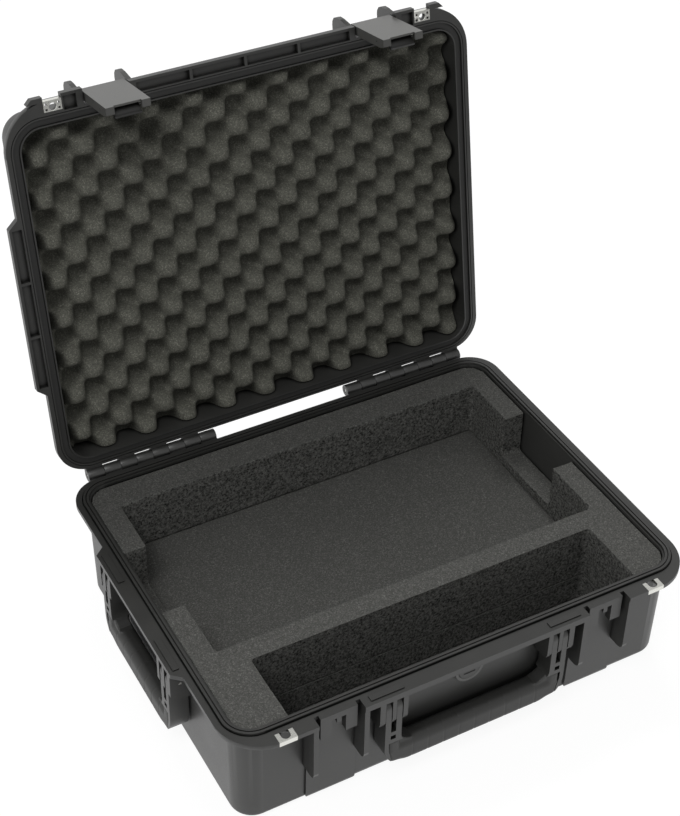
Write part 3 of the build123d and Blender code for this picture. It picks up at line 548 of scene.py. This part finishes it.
def egg_crate(look):
    """The lid's convoluted foam, cut off square at the lid's inside."""
    shape = bmesh.new()
    crate_face(shape)
    crate_back(shape)
    for v in shape.verts:
        v.co = opened(v.co)
    for f in shape.faces:
        f.smooth = len(f.verts) == 4
    for e in shape.edges:
        if len(e.link_faces) == 2 and e.calc_face_angle() > math.radians(CRATE_SHARP_ANGLE):
            e.smooth = False
    mesh = bpy.data.meshes.new("egg_crate_foam")
    shape.to_mesh(mesh)
    shape.free()
    coat(mesh, look)
    foam_piece = linked("egg_crate_foam", mesh)
    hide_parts("lid_foam")
    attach(foam_piece, "lid")


# ------------------------------------------------------------------ handles
def corner_centre(side, axis):
    """Where the lower corner's new round has its centre, in metres: how far out, and how high."""
    wide = np.abs(points_of(nodes[f"{side}_handle_frame"].data)[:, axis]).max()
    low = points_of(nodes[f"{side}_handle_grip"].data)[:, Z].min()
    return wide - CORNER_ROUND * MM, low + CORNER_ROUND * MM


def round_corners(places, axis, centre):
    """Draw the handle's lower corners in from the CAD's radius to the fuller real one.

    Seen from the new round's centre, each point moves inwards along its own ray. What lies
    nearer than CORNER_STILL stays, and the old outline comes to lie on the new one.
    """
    out, height = centre
    still, full, old = CORNER_STILL * MM, CORNER_ROUND * MM, CORNER_CAD * MM
    cut = full - old
    along = np.abs(places[:, axis]) - out
    down = height - places[:, Z]
    reach = np.hypot(along, down)
    with np.errstate(divide="ignore", invalid="ignore"):
        c, s = along / reach, down / reach
        arc = cut * (c + s) + np.sqrt(np.maximum((cut * (c + s)) ** 2 - 2 * cut ** 2 + old ** 2, 0))
        edge = np.where(s * full < cut * c, full / c, np.where(c * full < cut * s, full / s, arc))
        drawn = still + (reach - still) * (full - still) / (edge - still)
    moved = (along > 0) & (down > 0) & (reach > still)
    scale = np.where(moved, drawn / np.maximum(reach, 1e-9), 1.0)
    end = np.sign(places[:, axis])
    places[:, axis] = np.where(moved, end * (out + along * scale), places[:, axis])
    places[:, Z] = np.where(moved, height - down * scale, places[:, Z])
    return places


def handle_grip(side, axis, seams, look):
    """Soft rubber sleeve with full round corners and shallow seams across it."""
    node = f"{side}_handle_grip"
    made = grown(f"{side}_grip_sleeve", node, SLEEVE_VOXEL * MM, SLEEVE_SMOOTHING)
    places, normals = points_of(made.data), points_of(made.data, "normal")
    along = places[:, axis] / MM
    for k in range(-seams, seams + 1):
        dent = np.exp(-((along - k * SEAM_PITCH) / SEAM_WIDTH) ** 2)
        places -= normals * (SEAM_DEPTH * MM * dent)[:, None]
    reshape(made.data, round_corners(places, axis, corner_centre(side, axis)), look)
    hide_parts(node)
    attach(made, f"{side}_handle")


def cut_corner(shape, axis, centre, end):
    """Cut a fan of lines into one lower corner, so that its flat faces can take a round."""
    out, height = centre
    middle = Vector((0, 0, height))
    middle[axis] = end * out
    near = 0.01 * MM

    def in_corner(face):
        return any(
            (v.co[axis] - middle[axis]) * end > -near and v.co.z - height < near for v in face.verts
        )

    for k in range(CORNER_CUTS + 1):
        angle = math.radians(90 * k / CORNER_CUTS)
        normal = Vector((0, 0, math.cos(angle)))
        normal[axis] = end * math.sin(angle)
        whole = k in (0, CORNER_CUTS)
        part = {}
        for face in shape.faces:
            if whole or in_corner(face):
                part.update(dict.fromkeys([face, *face.edges, *face.verts]))
        bmesh.ops.bisect_plane(shape, geom=list(part), plane_co=middle, plane_no=normal, dist=1e-6)


def handle_frame(side, axis, look):
    """The handle's own frame with its corners rounded to match and its edges eased."""
    node, name = f"{side}_handle_frame", f"{side}_frame_rounded"
    centre = corner_centre(side, axis)
    shape = bmesh.new()
    shape.from_mesh(nodes[node].data)
    bmesh.ops.remove_doubles(shape, verts=shape.verts, dist=WELD_REACH * MM)
    flat = math.radians(FLAT_ANGLE)
    bmesh.ops.dissolve_limit(shape, angle_limit=flat, verts=shape.verts, edges=shape.edges)
    for end in (-1, 1):
        cut_corner(shape, axis, centre, end)
    mesh = bpy.data.meshes.new(name)
    shape.to_mesh(mesh)
    shape.free()
    made = linked(name, mesh)
    reshape(mesh, round_corners(points_of(mesh), axis, centre), look)
    shade_smooth(mesh)
    mesh.set_sharp_from_angle(angle=math.radians(SHARP_ANGLE))
    add_bevel(made, FRAME_EASE)
    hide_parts(node)
    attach(made, f"{side}_handle")


# ------------------------------------------------------------------ springs
def coil_points(start, length):
    """Points, in mm, of a close-wound helix along X round the trigger's pin."""
    count = COIL_TURNS * COIL_STEPS
    for k in range(count + 1):
        angle = 2 * math.pi * k / COIL_STEPS
        yield start + Vector((length * k / count, COIL_R * math.cos(angle), COIL_R * math.sin(angle)))


def coils(side, look):
    """Both return coils of one trigger, as round wire."""
    name = f"return_coils_{side}"
    middle = shut(JOINTS[f"trigger_{side}_press"]["pos_m"])
    curve = bpy.data.curves.new(name, "CURVE")
    curve.dimensions = "3D"
    curve.bevel_depth = COIL_WIRE / 2 * MM
    curve.bevel_resolution = 3
    curve.use_fill_caps = True
    for end in (-1, 1):
        start = middle + Vector((end * (COIL_START + COIL_WIRE / 2), 0, 0))
        points = list(coil_points(start, end * (COIL_LENGTH - COIL_WIRE)))
        spline = curve.splines.new("POLY")
        spline.points.add(len(points) - 1)
        for point, place in zip(spline.points, points):
            point.co = (*opened(place), 1)
    wire = linked(name, curve)
    mesh = bpy.data.meshes.new_from_object(wire.evaluated_get(bpy.context.evaluated_depsgraph_get()))
    bpy.data.objects.remove(wire)
    made = linked(name, mesh)
    shade_smooth(mesh)
    coat(mesh, look)
    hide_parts(f"trigger_springs_{side}")
    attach(made, f"latch_{side}")


# ------------------------------------------------------------------ looks of the CAD nodes
def ease_edges(name, width):
    """Join the node's flat faces, which long thin triangles spoil for a bevel, and bevel its edges."""
    obj = nodes[name]
    weld = obj.modifiers.new("weld", "WELD")
    weld.merge_threshold = WELD_REACH * MM
    flat = obj.modifiers.new("flat", "DECIMATE")
    flat.decimate_type = "DISSOLVE"
    flat.angle_limit = math.radians(FLAT_ANGLE)
    add_bevel(obj, width)


def dress(looks):
    """Give each CAD node its material by the record's slot."""
    slots = {part["node"]: part["material_slot"] for part in record["subparts"]}
    for name, obj in nodes.items():
        for place in obj.material_slots:
            place.material = looks[PAINTED_LIGHT_LOOK.get(name, slots[name])]


# ------------------------------------------------------------------ build
camera()
stage()
world()
lights()
looks = {
    "shell_plastic": moulded_plastic("case_plastic", 0.028, 0.40, pebble=1300, depth=0.08 * MM),
    "latch_plastic": moulded_plastic("latch_cover_plastic", 0.072, 0.36, pebble=1900, depth=0.05 * MM),
    "handle_plastic": moulded_plastic("handle_frame_plastic", 0.030, 0.40, pebble=1300, depth=0.08 * MM),
    # Darker than the case plastic: painted shade of the finger cavity behind the trigger's lip.
    "trigger": moulded_plastic("trigger_plastic_painted_shade", 0.016, 0.45, pebble=1900, depth=0.05 * MM),
    "grip_rubber": rubber("grip_soft_rubber", 0.026, 0.50),
    "seal_rubber": rubber("gasket_rubber", 0.015, 0.6),
    "foam": foam("charcoal_foam", 0.070, cut_level=0.095),
    "stainless": metal("stainless_plate", 0.78, 0.28, stretch=(1, 12, 12)),
    "pin_steel": metal("pin_steel", 0.62, 0.25, stretch=(12, 1, 12)),
}
dress(looks)
for name, width in EASED.items():
    ease_edges(name, width)
# The egg crate's skin gets painted shade in its valleys, reaching 22 mm.
egg_crate(foam("egg_crate_skin", 0.100, blue=0.85, painted_shade_reach=22 * MM))
for side in ("left", "right"):
    coils(side, looks["pin_steel"])
for layer, voxel in (("floor", 3.0), ("riser", 2.5), ("cradle", 2.5)):
    soft_foam(f"foam_{layer}_layer", f"base_foam_{layer}", voxel * MM, looks["foam"])
for side, axis, seams in HANDLES:
    handle_grip(side, axis, seams, looks["grip_rubber"])
for side, axis, seams in HANDLES:
    handle_frame(side, axis, looks["handle_plastic"])

scene = bpy.context.scene
scene.view_settings.view_transform = "Standard"
